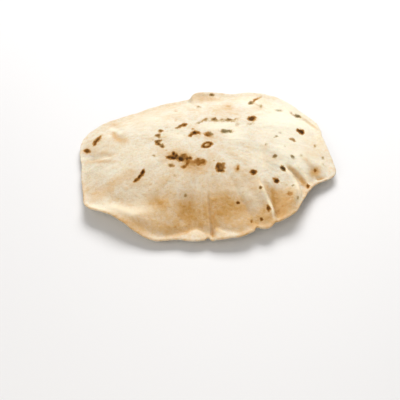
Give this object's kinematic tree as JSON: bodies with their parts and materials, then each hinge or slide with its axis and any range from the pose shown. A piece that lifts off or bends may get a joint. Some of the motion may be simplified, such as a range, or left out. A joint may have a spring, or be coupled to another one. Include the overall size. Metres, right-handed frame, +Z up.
{
  "type": "chapati flatbread",
  "caption": "Round wheat flatbread, puffed over a flame and settled into a low, softly folded dome with a thin wavy brim and scorch marks.",
  "frame": {"origin": "on the surface that the bread rests on, under the middle of its box", "axes": "+Z up through the dome, -Y towards the side of the brim that stands up as a lip, +X to its right"},
  "size_m": [0.1858, 0.1742, 0.0303],
  "materials": {
    "baked_dough": null
  },
  "bodies": {
    "root": {"chapati": "baked_dough"}
  },
  "joints": []
}
